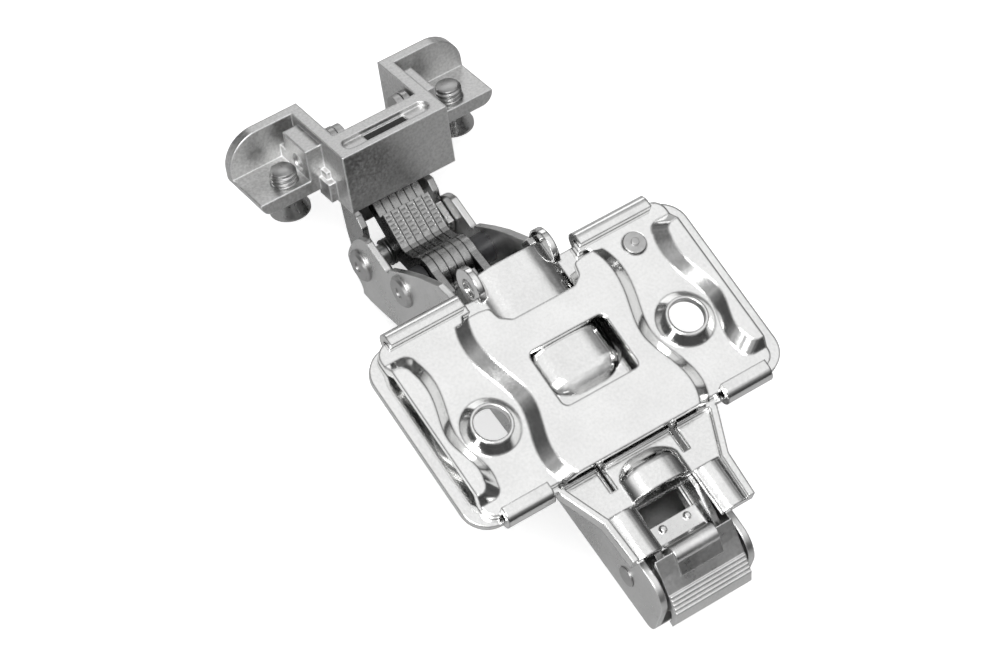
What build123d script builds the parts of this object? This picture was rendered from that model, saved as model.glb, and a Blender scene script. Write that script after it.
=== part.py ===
from build123d import *
import math
import os

os.makedirs("parts", exist_ok=True)

# Frame: origin midway between the two plate screw holes, on the face that lies on the cabinet side.
# +X runs toward the door, +Y across the plate, +Z out through the plate's back.

# Sheet and layers
sheet = 1.0
emboss = 1.4
layer_gap = 0.1
valley_top = -emboss
valley_low = valley_top - sheet
slide_top = valley_low - layer_gap
slide_low = slide_top - sheet

# Fixed plate
screw_spacing = 32.0
screw_y = screw_spacing / 2
screw_clear_r = 2.5
screw_cone_rim_r = 2.95
screw_cone_base_r = 4.2
screw_seat_r = 3.7
plate_half_width = 23.5
plate_front = 17.2
plate_rear = -11.2
band_front = plate_front - 2.7
band_rear = plate_rear - 0.5
band_foot = 12.2
band_slope = 2.0
band_waist_in = 1.2
band_wide_x = 6.0
band_waist_x = 0.6
band_rear_x = -5.0
rib_foot = plate_half_width - 4.1
rib_slope = 1.8
rib_front = plate_front - 2.8
rib_rear = plate_rear + 2.2
rib_corner = 1.6
window_front = 6.1
window_rear = -3.0
window_half = 6.2

# Slide plate
slide_half_width = 25.8
slide_front = 18.7
slide_rear = -12.0
slide_corner_r = 4.0
hem_gap = 1.2
hem_height = 2 * sheet + hem_gap
hem_length = 2.5
front_hem_inner = 9.5
front_hem_outer = 21.4
rear_hem_inner = 14.2
rear_hem_outer = 21.6
rear_hem_fold = -13.1
dome_half = 6.4
dome_rise = 1.38
dome_front = 19.8
dome_fade_front = 1.2
dome_fade_rear = -2.6
tail_dome_half = 4.9
tail_dome_rise = 1.7
tail_dome_start = -15.0
tail_dome_fade = -12.2
tail_dome_end = -18.2
notch_half = 5.0
leg_crown = 0.6
leg_outer = 9.3
tail_drop = 0.9
tail_top = slide_top - tail_drop
tail_end = -25.4
tail_root_half = 12.9
tail_half = 10.3
ear_x = 19.15
ear_depth = 3.25
ear_r = 3.0
ear_inner = 5.57
stud_r = 1.0
stud_length = 0.9
stud_dent = 0.35
height_travel = 2.0

# Height cam
cam_x = 13.0
cam_y = -screw_y - 0.5
cam_stem_r = 1.6
cam_throw = 2.6
cam_lobe_r = 3.4
cam_head_r = 6.2
cam_fit = 0.08
cam_slot_fit = 0.16

# Arm and its inner brackets
arm_inner = 6.75
arm_wall = 1.0
arm_outer = arm_inner + arm_wall
tilt_x = -24.0
tilt_depth = 13.0
tilt_pin_r = 1.5
bracket_inner = 5.45
bracket_wall = 1.0
carrier_inner = 4.3
carrier_wall = 1.0
depth_travel = 1.5
running = 0.05
depth_cam_x = 9.0
depth_cam_seat = 11.2
depth_cam_r = 2.4
depth_cam_throw = 2.0
depth_cam_pin_r = 0.9
cam_side_fit = 0.12
side_screw_x = -2.0
side_screw_r = 1.7
side_screw_top = 9.6
side_screw_low = 19.4
side_collar = 16.2
side_collar_r = 2.9
side_head = 19.05
driver_hole_r = 2.8

# Links
front_pin_x = 38.7
front_pin_depth = 28.9
front_pin_r = 1.5
rear_pin_x = 29.65
rear_pin_depth = 21.3
rear_pin_r = 1.25
rivet_head_r = 2.5
rivet_head = 0.7
rivet_bevel = 0.4
rivet_dimple_r = 0.8
rivet_dimple = 0.2
outer_link_inner = 5.6
outer_link_wall = 1.0
link_plates = 6
link_plate = 1.3
bush_r = 2.3

# Door boss, in its own frame: v runs from the hinge edge into the door, u runs inward
boss_x = 46.5
boss_z = -8.7
door_open = 62.6
boss_v_x = math.sin(math.radians(door_open))
boss_v_z = -math.cos(math.radians(door_open))
bar_depth = 5.4
bar_height = 9.9
bar_half = 8.7
cheek_inner = 6.9
bar_front_wall = 1.2
bar_top_wall = 1.5
cheek_length = 15.4
ear_wall = 1.6
boss_half = 19.6
shelf_top = 6.2
shelf_low = 8.3
shelf_inner = 11.3
clamp_v = 8.8
clamp_y = 14.0
clamp_r = 2.0
outer_pivot_u = 2.6
outer_pivot_v = 7.4
outer_pivot_r = 1.1
inner_pivot_u = 7.0
inner_pivot_v = 5.0
inner_pivot_r = 1.2


def side_plane(y):
    # Local x runs toward the door, local y runs down from the plate.
    return Plane(origin=(0, y, 0), x_dir=(1, 0, 0), z_dir=(0, 1, 0))


def boss_plane(y):
    # Local x is v, local y is u.
    return Plane(origin=(boss_x, y, boss_z), x_dir=(boss_v_x, 0, boss_v_z), z_dir=(0, 1, 0))


def boss_point(u, v):
    # Place in x and depth of a point given in the boss's own frame.
    return (boss_x + v * boss_v_x + u * boss_v_z, -boss_z - v * boss_v_z + u * boss_v_x)


outer_pivot = boss_point(outer_pivot_u, outer_pivot_v)
inner_pivot = boss_point(inner_pivot_u, inner_pivot_v)


def slab(plane, points, amount, mode=Mode.ADD):
    # A flat piece with a straight-sided closed outline.
    with BuildSketch(plane) as outline:
        with BuildLine():
            Polyline(*points, close=True)
        make_face()
    extrude(outline.sketch, amount=amount, mode=mode)


def disc(plane, centre, radius, amount, mode=Mode.ADD):
    # A round piece standing on a plane.
    with BuildSketch(plane) as outline:
        with Locations(centre):
            Circle(radius)
    extrude(outline.sketch, amount=amount, mode=mode)


def block(low, high, mode=Mode.ADD):
    # A straight block between two corners.
    middle = [(a + b) / 2 for a, b in zip(low, high)]
    with Locations(tuple(middle)):
        Box(*(b - a for a, b in zip(low, high)), mode=mode)


def band_section(z, half, front, rear):
    # Waisted outline of the raised middle band at one height.
    waist = half - band_waist_in
    with BuildSketch(Plane.XY.offset(z)) as outline:
        with BuildLine():
            for side in (-1, 1):
                Spline(
                    (front, side * half),
                    (band_wide_x, side * half),
                    (band_waist_x, side * waist),
                    (band_rear_x, side * (half + 0.3)),
                    (rear, side * (half - 0.3)),
                )
            Line((front, -half), (front, half))
            Line((rear, 0.3 - half), (rear, half - 0.3))
        make_face()
    return outline.sketch.faces()


def rib_section(z, inner, front, rear, side):
    # Outline of a raised outer rib at one height, open toward the plate's edge.
    edge = side * (plate_half_width + 0.5)
    with BuildSketch(Plane.XY.offset(z)) as outline:
        with BuildLine():
            Spline(
                (front - rib_corner, side * inner),
                (band_wide_x, side * inner),
                (band_waist_x, side * (inner + band_waist_in)),
                (band_rear_x, side * inner),
                (rear + rib_corner, side * (inner + 0.3)),
            )
            Polyline((front, side * (inner + rib_corner)), (front, edge), (rear, edge), (rear, side * (inner + 0.3 + rib_corner)))
            ThreePointArc(
                (front - rib_corner, side * inner),
                (front - 0.293 * rib_corner, side * (inner + 0.293 * rib_corner)),
                (front, side * (inner + rib_corner)),
            )
            ThreePointArc(
                (rear + rib_corner, side * (inner + 0.3)),
                (rear + 0.293 * rib_corner, side * (inner + 0.3 + 0.293 * rib_corner)),
                (rear, side * (inner + 0.3 + rib_corner)),
            )
        make_face()
    return outline.sketch.faces()


def sided(low, high, side):
    # The pair of y values of an extent given by its distances from the middle.
    return (low, high) if side > 0 else (-high, -low)


def screw_hole_places():
    return Locations((0, screw_y), (0, -screw_y))


# Fixed plate: valleys around the screws, a raised middle band and two raised outer ribs
with BuildPart() as fixed_plate:
    with BuildSketch(Plane.XY.offset(valley_low)):
        with Locations(((plate_front + plate_rear) / 2, 0)):
            RectangleRounded(plate_front - plate_rear, 2 * plate_half_width, 2.0)
    extrude(amount=sheet)
    loft(
        band_section(valley_top - 0.01, band_foot, band_front, band_rear)
        + band_section(0, band_foot - band_slope, band_front, band_rear)
    )
    for side in (-1, 1):
        loft(
            rib_section(valley_top - 0.01, rib_foot, rib_front, rib_rear, side)
            + rib_section(0, rib_foot + rib_slope, rib_front - 1.5, rib_rear + 1.2, side)
        )
    loft(
        band_section(valley_low - 0.02, band_foot - 0.62, band_front + 1, band_rear - 1)
        + band_section(-sheet, band_foot - band_slope - 0.62, band_front + 1, band_rear - 1),
        mode=Mode.SUBTRACT,
    )
    for side in (-1, 1):
        loft(
            rib_section(valley_low - 0.02, rib_foot + 0.62, rib_front - 0.8, rib_rear + 0.8, side)
            + rib_section(-sheet, rib_foot + rib_slope + 0.62, rib_front - 2.2, rib_rear + 1.9, side),
            mode=Mode.SUBTRACT,
        )
    for side in (-1, 1):
        block((-20, side * plate_half_width - 2 + side * 2, -3), (20, side * plate_half_width + 2 + side * 2, 1), Mode.SUBTRACT)
    # The middle band stops short of the front folds
    block((band_front, -rib_foot, valley_low - 1), (16.0, rib_foot, valley_low + 0.0), Mode.SUBTRACT)
    with screw_hole_places():
        with Locations((0, 0, valley_top / 2)):
            Cone(screw_cone_base_r, screw_cone_rim_r, emboss)
        with Locations((0, 0, valley_low / 2)):
            Cylinder(screw_clear_r, 2 * emboss + 2, mode=Mode.SUBTRACT)
        with Locations((0, 0, valley_low + 0.695)):
            Cone(screw_seat_r, screw_clear_r, 1.39, mode=Mode.SUBTRACT)
    # Window over the dome and the notch in the front edge
    with BuildSketch(Plane.XY.offset(1)):
        with Locations(((window_front + window_rear) / 2, 0)):
            RectangleRounded(window_front - window_rear, 2 * window_half, 1.0)
    extrude(amount=-5, mode=Mode.SUBTRACT)
    with BuildSketch(Plane.XY.offset(1)):
        with BuildLine():
            Polyline((11.3, -5.0), (12.4, -6.6), (14.2, -7.0), (14.6, -9.0), (18.0, -9.0), (18.0, 9.0), (14.6, 9.0), (14.2, 7.0), (12.4, 6.6), (11.3, 5.0), close=True)
        make_face()
    extrude(amount=-5, mode=Mode.SUBTRACT)
    # Rounded tips of the band beside the notch
    tips = fixed_plate.edges().filter_by(Axis.Z).filter_by_position(Axis.X, 14.1, 14.3)
    fillet(tips, 0.5)
    notch_corners = fixed_plate.edges().filter_by(Axis.Z).filter_by_position(Axis.X, 11.2, 12.5)
    fillet(notch_corners, 0.9)
    # Hole for the height cam's stem
    with Locations((cam_x, cam_y, valley_low)):
        Cylinder(cam_stem_r + cam_fit, 4, mode=Mode.SUBTRACT)
fixed_plate.part.label = "fixed_plate"
export_step(fixed_plate.part, "parts/fixed_plate.step")


def hem(fold, inward, inner, outer, side):
    # A folded edge of the slide plate that grips the fixed plate's valley edge.
    low = min(side * inner, side * outer)
    radius = hem_height / 2 - 0.05
    free = fold + inward * hem_length
    with BuildSketch(side_plane(low)) as outline:
        with BuildLine():
            Line((free, -slide_low), (fold + inward * radius, -slide_low))
            ThreePointArc(
                (fold + inward * radius, -slide_low),
                (fold, -slide_low - hem_height / 2),
                (fold + inward * radius, -slide_low - hem_height),
            )
            Polyline(
                (fold + inward * radius, -slide_low - hem_height),
                (free, -slide_low - hem_height),
                (free, -slide_top - hem_gap),
                (fold + inward * radius, -slide_top - hem_gap),
            )
            ThreePointArc(
                (fold + inward * radius, -slide_top - hem_gap),
                (fold + inward * sheet, -slide_low - hem_height / 2),
                (fold + inward * radius, -slide_top),
            )
            Polyline((fold + inward * radius, -slide_top), (free, -slide_top), (free, -slide_low))
        make_face()
    extrude(outline.sketch, amount=outer - inner)


def dome_section(x, half, low, rise):
    # Cross-section of the swelling along the slide plate: round shoulders under a flatter crown.
    with BuildSketch(Plane(origin=(x, 0, low), x_dir=(0, 1, 0), z_dir=(1, 0, 0))) as outline:
        with BuildLine():
            Spline((-half, 0), (-0.8 * half, 0.56 * rise), (0, rise), (0.8 * half, 0.56 * rise), (half, 0))
            Line((half, 0), (-half, 0))
        make_face()
    return outline.sketch.faces()


def dome(half, low, rise, fade, start, end, mode=Mode.ADD):
    # A long rounded swelling that fades out softly at one end and runs straight to the other.
    stations = [(0, 0.45, 0.05), (0.4, 0.74, 0.45), (0.75, 0.95, 0.88), (1, 1, 1)]
    fading = [dome_section(fade + t * (start - fade), width * half, low, height * rise) for t, width, height in stations]
    loft(fading[0] + fading[1] + fading[2] + fading[3], mode=mode)
    extrude(dome_section(start, half, low, rise), amount=abs(end - start), dir=(1 if end > start else -1, 0, 0), mode=mode)


# Slide plate: runs across under the fixed plate, folded over its edges, with the tail the arm clips to
with BuildPart() as slide_plate:
    with BuildSketch(Plane.XY.offset(slide_low)):
        with Locations(((slide_front - 1.6 + slide_rear) / 2, 0)):
            RectangleRounded(slide_front - 1.6 - slide_rear, 2 * slide_half_width, slide_corner_r)
    extrude(amount=sheet)
    slab(
        Plane.XY.offset(tail_top - sheet),
        [(slide_rear + 1, -tail_root_half), (slide_rear - 0.5, -tail_root_half), (-18.8, -tail_half), (tail_end, -tail_half + 0.3),
         (tail_end, tail_half - 0.3), (-18.8, tail_half), (slide_rear - 0.5, tail_root_half), (slide_rear + 1, tail_root_half)],
        sheet,
    )
    block((slide_rear, -tail_root_half, tail_top - sheet), (slide_rear + 1, tail_root_half, slide_top))
    for side in (-1, 1):
        # Upturned rim of the tail
        slab(
            Plane.XY.offset(tail_top - sheet),
            [(slide_rear + 1, side * tail_root_half), (slide_rear - 0.5, side * tail_root_half), (-18.8, side * tail_half),
             (tail_end, side * (tail_half - 0.3)), (tail_end, side * (tail_half - 1.3)), (-18.6, side * (tail_half - 1)),
             (slide_rear - 0.3, side * (tail_root_half - 1)), (slide_rear + 1, side * (tail_root_half - 1))],
            sheet + tail_drop,
        )
        hem(slide_front, -1, front_hem_inner, front_hem_outer, side)
        hem(rear_hem_fold, 1, rear_hem_inner, rear_hem_outer, side)
        # Ear with its inward stud, on a neck from the plate's front edge
        ear_start = ear_inner if side > 0 else -ear_inner - sheet
        disc(side_plane(ear_start), (ear_x, ear_depth), ear_r, sheet)
        slab(side_plane(ear_start), [(15.8, 2.6), (18.5, 1.6), (18.5, 4.9), (15.8, 3.4)], sheet)
        stud_start = ear_inner - stud_length if side > 0 else -ear_inner
        disc(side_plane(stud_start), (ear_x, ear_depth), stud_r, stud_length)
        dent_start = sided(ear_inner + sheet - stud_dent, ear_inner + sheet, side)[0]
        disc(side_plane(dent_start), (ear_x, ear_depth), stud_r + 0.4, stud_dent, Mode.SUBTRACT)
    dome(dome_half, slide_top - 0.3, dome_rise + 0.3, dome_fade_rear, dome_fade_front, dome_front)
    dome(tail_dome_half, tail_top - 0.3, tail_dome_rise + 0.3, tail_dome_fade, tail_dome_start, tail_dome_end)
    dome(dome_half - 0.9, slide_low - 0.1, dome_rise + 0.1, dome_fade_rear + 1.6, dome_fade_front + 0.8, dome_front + 1, Mode.SUBTRACT)
    dome(tail_dome_half - 0.9, tail_top - sheet - 0.1, tail_dome_rise + 0.1, tail_dome_fade - 1.4, tail_dome_start - 0.6, tail_dome_end - 1, Mode.SUBTRACT)
    # Open end of the tail where the latch comes up, with a crowned leg along each side
    block((tail_end - 1, -notch_half, -6), (tail_dome_end - 0.2, notch_half, 0), Mode.SUBTRACT)
    for side in (-1, 1):
        with BuildSketch(Plane(origin=(tail_end, 0, tail_top), x_dir=(0, 1, 0), z_dir=(1, 0, 0))) as leg:
            with BuildLine():
                ThreePointArc((side * notch_half, -0.1), (side * (notch_half + leg_outer) / 2, leg_crown), (side * leg_outer, -0.1))
                Line((side * leg_outer, -0.1), (side * notch_half, -0.1))
            make_face()
        extrude(leg.sketch, amount=tail_dome_end - 0.2 - tail_end)
    for side in (-1, 1):
        # Lanced slots beside the dome
        block((-15.4, side * 6 - 0.6, -6), (-11.4, side * 6 + 0.6, 0), Mode.SUBTRACT)
        # Opening that lets the plate screw through at any height setting
        with BuildSketch(Plane.XY):
            with Locations((0, side * screw_y)):
                SlotCenterToCenter(2 * height_travel, 9.4, rotation=90)
        extrude(amount=-5, mode=Mode.SUBTRACT)
    # Slot for the height cam's lobe
    with BuildSketch(Plane.XY.offset(slide_low - 1)):
        with Locations((cam_x - cam_throw + 0.45, cam_y)):
            SlotCenterToCenter(1.4, 2 * (cam_lobe_r + cam_slot_fit))
    extrude(amount=4, mode=Mode.SUBTRACT)
slide_plate.part.label = "slide_plate"
export_step(slide_plate.part, "parts/slide_plate.step")

# Height cam: stem through the fixed plate, round lobe in the slide plate, head underneath
with BuildPart() as height_cam:
    with BuildSketch(Plane.XY.offset(valley_low - layer_gap / 2)):
        with Locations((cam_x, cam_y)):
            Circle(cam_stem_r)
    extrude(amount=sheet + layer_gap + 0.35)
    with BuildSketch(Plane.XY.offset(slide_low - layer_gap)):
        with Locations((cam_x - cam_throw, cam_y)):
            Circle(cam_lobe_r)
    extrude(amount=sheet + 1.5 * layer_gap)
    with BuildSketch(Plane.XY.offset(slide_low - layer_gap)):
        with Locations((cam_x, cam_y)):
            Circle(cam_head_r)
    extrude(amount=-0.9)
    with Locations((cam_x, cam_y, valley_top + 0.3)):
        Cylinder(0.55, 1.0)
    with BuildSketch(Plane.XY.offset(slide_low - layer_gap - 0.9)):
        with Locations((cam_x, cam_y)):
            Rectangle(5.0, 1.1)
            Rectangle(1.1, 5.0)
    extrude(amount=0.6, mode=Mode.SUBTRACT)
height_cam.part.label = "height_cam"
export_step(height_cam.part, "parts/height_cam.step")


def both_walls(points, inner, thick):
    # The same side wall on the left and on the right.
    slab(side_plane(inner), points, thick)
    slab(side_plane(-inner - thick), points, thick)


def cross_bore(centre, radius, half):
    # A round hole straight across both walls.
    disc(side_plane(-half), centre, radius, 2 * half, Mode.SUBTRACT)


def upright_bore(x, radius, top, low):
    # A round hole straight down through a web.
    with BuildSketch(Plane.XY.offset(-low)) as outline:
        with Locations((x, 0)):
            Circle(radius)
    extrude(outline.sketch, amount=low - top, mode=Mode.SUBTRACT)


# Clip carrier: hooks on the slide plate's studs in front and holds the sprung lever behind
latch_x = -25.8
latch_depth = 8.4
latch_pin_r = 0.9
with BuildPart() as clip_carrier:
    both_walls(
        [(21.2, 2.6), (21.9, 4.6), (19.5, 8.4), (-6.0, 8.4), (-22.0, 10.5), (-26.3, 9.6), (-27.0, 8.9), (-27.0, 7.9), (-26.3, 7.2), (-24.0, 6.0),
         (-20.0, 4.7), (18.0, 4.7), (20.3, 2.6)],
        carrier_inner,
        carrier_wall,
    )
    slab(side_plane(-carrier_inner - 0.1), [(14.0, 7.4), (14.0, 8.4), (-18.0, 8.4), (-18.0, 7.4)], 2 * carrier_inner + 0.2)
    cross_bore((ear_x, ear_depth), stud_r + running, 8)
    cross_bore((latch_x, latch_depth), latch_pin_r, 8)
    with BuildSketch(Plane.XY.offset(-9)):
        with Locations((depth_cam_x, depth_cam_throw - 0.35)):
            SlotCenterToCenter(1.0, 2 * (depth_cam_pin_r + cam_side_fit), rotation=90)
    extrude(amount=2, mode=Mode.SUBTRACT)
clip_carrier.part.label = "clip_carrier"
export_step(clip_carrier.part, "parts/clip_carrier.step")

# Adjusting bracket: slides along the carrier and carries the arm's pivot
with BuildPart() as adjusting_bracket:
    both_walls(
        [(15.0, 5.2), (17.0, 7.0), (17.0, 11.0), (-12.0, 11.6), (-22.0, 15.4), (-25.5, 15.2), (-26.2, 13.0), (-24.5, 10.4),
         (-21.0, 7.5), (-21.0, 5.2)],
        bracket_inner,
        bracket_wall,
    )
    slab(side_plane(-bracket_inner - 0.1), [(16.5, 10.0), (16.5, 11.0), (-9.0, 11.5), (-9.0, 10.5)], 2 * bracket_inner + 0.2)
    cross_bore((tilt_x, tilt_depth), tilt_pin_r, 9)
    upright_bore(depth_cam_x, depth_cam_r + running, 9.5, 12)
    upright_bore(side_screw_x, side_screw_r + 0.2, 9.5, 12)
adjusting_bracket.part.label = "adjusting_bracket"
export_step(adjusting_bracket.part, "parts/adjusting_bracket.step")

# Hinge arm: deep channel, open behind, notched in front so that the door folds in
with BuildPart() as hinge_arm:
    with BuildSketch(side_plane(-arm_outer)) as arm_side:
        with BuildLine():
            Polyline((21.5, 8.3), (23.6, 9.2), (27.4, 13.25), (30.4, 17.1), (33.25, 21.2))
            ThreePointArc((33.25, 21.2), (33.4, 22.2), (34.2, 22.45))
            Line((34.2, 22.45), (38.8, 22.45))
            Spline((38.8, 22.45), (39.9, 23.2), (41.25, 25.4), (41.9, 28.5), (42.0, 30.3))
            Spline((42.0, 30.3), (40.5, 32.5), (37.9, 33.3), (36.9, 34.7))
            Polyline((36.9, 34.7), (35.2, 34.2), (32.4, 32.8), (7.7, 19.55), (-9.4, 17.9), (-30.1, 17.0))
            ThreePointArc((-30.1, 17.0), (-31.15, 16.5), (-31.55, 15.4))
            Line((-31.55, 15.4), (-31.35, 10.9))
            ThreePointArc((-31.35, 10.9), (-30.1, 8.1), (-27.2, 7.0))
            Polyline((-27.2, 7.0), (18.0, 7.0), (21.5, 8.3))
        make_face()
    extrude(arm_side.sketch, amount=2 * arm_outer)
    # Hollow inside the channel, down to the sloping web
    slab(
        side_plane(-arm_inner),
        [(-33.0, 5.0), (45.0, 5.0), (45.0, 40.0), (33.0, 40.0), (33.0, 31.97), (7.95, 18.57), (-9.4, 16.9), (-33.0, 15.85)],
        2 * arm_inner,
        Mode.SUBTRACT,
    )
    cross_bore((front_pin_x, front_pin_depth), front_pin_r, 10)
    cross_bore((rear_pin_x, rear_pin_depth), rear_pin_r, 10)
    cross_bore((tilt_x, tilt_depth), tilt_pin_r + running, 10)
    upright_bore(depth_cam_x, driver_hole_r, 15, 25)
    upright_bore(side_screw_x, side_screw_r + 0.15, 15, 25)
hinge_arm.part.label = "hinge_arm"
export_step(hinge_arm.part, "parts/hinge_arm.step")

# Arm pivot pin: the arm tilts on it when the side screw is turned
with BuildPart() as arm_pivot_pin:
    disc(side_plane(-arm_outer - 0.2), (tilt_x, tilt_depth), tilt_pin_r, 2 * arm_outer + 0.4)
arm_pivot_pin.part.label = "arm_pivot_pin"
export_step(arm_pivot_pin.part, "parts/arm_pivot_pin.step")

# Release lever: latch plate in front, rolled neck on its pin, ribbed thumb part behind
lever_sheet = 0.9
with BuildPart() as release_lever:
    slab(side_plane(-3.9), [(-21.4, 7.1), (-24.8, 7.1), (-24.8, 7.1 + lever_sheet), (-21.4, 7.1 + lever_sheet)], 7.8)
    disc(side_plane(-3.5), (latch_x, latch_depth), latch_pin_r + running + lever_sheet + 0.2, 7.0)
    slab(
        side_plane(-6.3),
        [(-26.1, 5.3), (-28.2, 6.9), (-30.5, 8.5), (-32.7, 10.4), (-33.3, 12.0), (-33.0, 13.5), (-32.2, 13.3), (-32.3, 12.0),
         (-31.9, 11.1), (-29.9, 9.3), (-27.7, 7.7), (-26.1, 6.3)],
        12.6,
    )
    with BuildSketch(side_plane(-3.5)) as rolled_neck:
        with BuildLine():
            Line((-24.9, 7.0), (-24.9, 5.9))
            ThreePointArc((-24.9, 5.9), (-26.2, 4.9), (-27.6, 5.8))
            Polyline((-27.6, 5.8), (-29.1, 7.3), (-28.4, 8.0), (-26.6, 7.3), (-24.9, 7.0))
        make_face()
    extrude(rolled_neck.sketch, amount=7.0)
    for step in range(5):
        rib_x = -30.6 - 0.48 * step
        rib_depth = 8.55 + 0.42 * step
        disc(side_plane(-6.2), (rib_x, rib_depth), 0.3, 12.4)
    for side in (-1, 1):
        tab_start = 5.5 if side > 0 else -6.3
        rail_start = 3.1 if side > 0 else -3.9
        slab(side_plane(tab_start), [(-26.1, 6.0), (-28.0, 7.2), (-31.9, 10.3), (-31.0, 12.0), (-27.6, 10.5)], 0.8)
        slab(side_plane(rail_start), [(-21.4, 7.5), (-24.0, 7.5), (-24.0, 9.0), (-21.4, 8.6)], 0.8)
        with Locations((-22.35, side * 2.0, -6.95)):
            Cone(0.65, 0.35, 0.5)
    cross_bore((latch_x, latch_depth), latch_pin_r + running, 8)
release_lever.part.label = "release_lever"
export_step(release_lever.part, "parts/release_lever.step")

# Lever pin, fixed in the carrier's walls
with BuildPart() as lever_pin:
    disc(side_plane(-carrier_inner - carrier_wall), (latch_x, latch_depth), latch_pin_r, 2 * (carrier_inner + carrier_wall))
lever_pin.part.label = "lever_pin"
export_step(lever_pin.part, "parts/lever_pin.step")


def riveted_pin(centre, radius, head_radius):
    # A shaft across the arm with a low bevelled head and a small dimple on each side.
    disc(side_plane(-arm_outer - rivet_head), centre, radius, 2 * (arm_outer + rivet_head))
    disc(side_plane(arm_outer), centre, head_radius, rivet_head)
    disc(side_plane(-arm_outer - rivet_head), centre, head_radius, rivet_head)
    for side in (-1, 1):
        dimple_start = sided(arm_outer + rivet_head - rivet_dimple, arm_outer + rivet_head, side)[0]
        disc(side_plane(dimple_start), centre, rivet_dimple_r, rivet_dimple, Mode.SUBTRACT)


# Front link pin
with BuildPart() as front_link_pin:
    riveted_pin((front_pin_x, front_pin_depth), front_pin_r, rivet_head_r)
    chamfer(front_link_pin.edges().filter_by(GeomType.CIRCLE).group_by(SortBy.RADIUS)[-1].sort_by(Axis.Y)[0], rivet_bevel)
    chamfer(front_link_pin.edges().filter_by(GeomType.CIRCLE).group_by(SortBy.RADIUS)[-1].sort_by(Axis.Y)[-1], rivet_bevel)
front_link_pin.part.label = "front_link_pin"
export_step(front_link_pin.part, "parts/front_link_pin.step")

# Rear link pin
with BuildPart() as rear_link_pin:
    riveted_pin((rear_pin_x, rear_pin_depth), rear_pin_r, rivet_head_r)
    chamfer(rear_link_pin.edges().filter_by(GeomType.CIRCLE).group_by(SortBy.RADIUS)[-1].sort_by(Axis.Y)[0], rivet_bevel)
    chamfer(rear_link_pin.edges().filter_by(GeomType.CIRCLE).group_by(SortBy.RADIUS)[-1].sort_by(Axis.Y)[-1], rivet_bevel)
rear_link_pin.part.label = "rear_link_pin"
export_step(rear_link_pin.part, "parts/rear_link_pin.step")

# Dark bushes that hold the inner link in the middle of the rear pin
stack_half = link_plates * link_plate / 2
bush_start = stack_half + 0.1
with BuildPart() as rear_bush_left:
    disc(side_plane(bush_start), (rear_pin_x, rear_pin_depth), bush_r, arm_inner - bush_start)
    cross_bore((rear_pin_x, rear_pin_depth), rear_pin_r, 10)
rear_bush_left.part.label = "rear_bush_left"
export_step(rear_bush_left.part, "parts/rear_bush_left.step")

with BuildPart() as rear_bush_right:
    disc(side_plane(-arm_inner), (rear_pin_x, rear_pin_depth), bush_r, arm_inner - bush_start)
    cross_bore((rear_pin_x, rear_pin_depth), rear_pin_r, 10)
rear_bush_right.part.label = "rear_bush_right"
export_step(rear_bush_right.part, "parts/rear_bush_right.step")

# Closing spring: a tight dark coil on the front pin with one leg resting on the arm's web
spring_half = outer_link_inner - 1.6
spring_r = 2.1
spring_turns = 6
with BuildPart() as closing_spring:
    pitch = 2 * spring_half / spring_turns
    with BuildSketch(Plane(origin=(front_pin_x, -spring_half, -front_pin_depth), x_dir=(1, 0, 0), z_dir=(0, 0, 1))) as coil:
        with BuildLine():
            for turn in range(spring_turns):
                Polyline((spring_r - 0.25, turn * pitch), (spring_r, (turn + 0.5) * pitch), (spring_r - 0.25, (turn + 1) * pitch))
            Polyline(
                (spring_r - 0.25, 2 * spring_half),
                (front_pin_r + running, 2 * spring_half),
                (front_pin_r + running, 0),
                (spring_r - 0.25, 0),
            )
        make_face()
    revolve(coil.sketch, axis=Axis((front_pin_x, 0, -front_pin_depth), (0, 1, 0)))
    with Locations((35.6, spring_half - 0.4, -31.15)):
        Box(6.4, 0.6, 0.6, rotation=(0, -5, 0))
closing_spring.part.label = "closing_spring"
export_step(closing_spring.part, "parts/closing_spring.step")

# Depth cam: its flange lies under the bracket's web and its pin stands in the carrier's cross slot
with BuildPart() as depth_cam:
    with BuildSketch(Plane.XY.offset(-depth_cam_seat + 1.15)):
        with Locations((depth_cam_x, 0)):
            Circle(depth_cam_r)
    extrude(amount=-1.35)
    with BuildSketch(Plane.XY.offset(-depth_cam_seat - 0.15)):
        with Locations((depth_cam_x, 0)):
            Circle(depth_cam_r + 0.8)
    extrude(amount=-0.8)
    with BuildSketch(Plane.XY.offset(-depth_cam_seat + 1.1)):
        with Locations((depth_cam_x, depth_cam_throw)):
            Circle(depth_cam_pin_r)
    extrude(amount=2.6)
    with BuildSketch(Plane.XY.offset(-depth_cam_seat - 1.0)):
        with Locations((depth_cam_x, 0)):
            Rectangle(3.4, 0.9)
            Rectangle(0.9, 3.4)
    extrude(amount=0.8, mode=Mode.SUBTRACT)
depth_cam.part.label = "depth_cam"
export_step(depth_cam.part, "parts/depth_cam.step")

# Side screw: held by its two collars in the arm's web, its shank reaches up through the bracket's web
with BuildPart() as side_screw:
    with BuildSketch(Plane.XY.offset(-side_screw_top)):
        with Locations((side_screw_x, 0)):
            Circle(side_screw_r)
    extrude(amount=side_screw_top - side_screw_low)
    with BuildSketch(Plane.XY.offset(-side_collar)):
        with Locations((side_screw_x, 0)):
            Circle(side_collar_r)
    extrude(amount=-0.9)
    with BuildSketch(Plane.XY.offset(-side_head)):
        with Locations((side_screw_x, 0)):
            Circle(side_collar_r)
    extrude(amount=-1.0)
    with BuildSketch(Plane.XY.offset(-side_head - 1.1)):
        with Locations((side_screw_x, 0)):
            Rectangle(3.8, 0.9)
            Rectangle(0.9, 3.8)
    extrude(amount=0.9, mode=Mode.SUBTRACT)
side_screw.part.label = "side_screw"
export_step(side_screw.part, "parts/side_screw.step")

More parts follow.
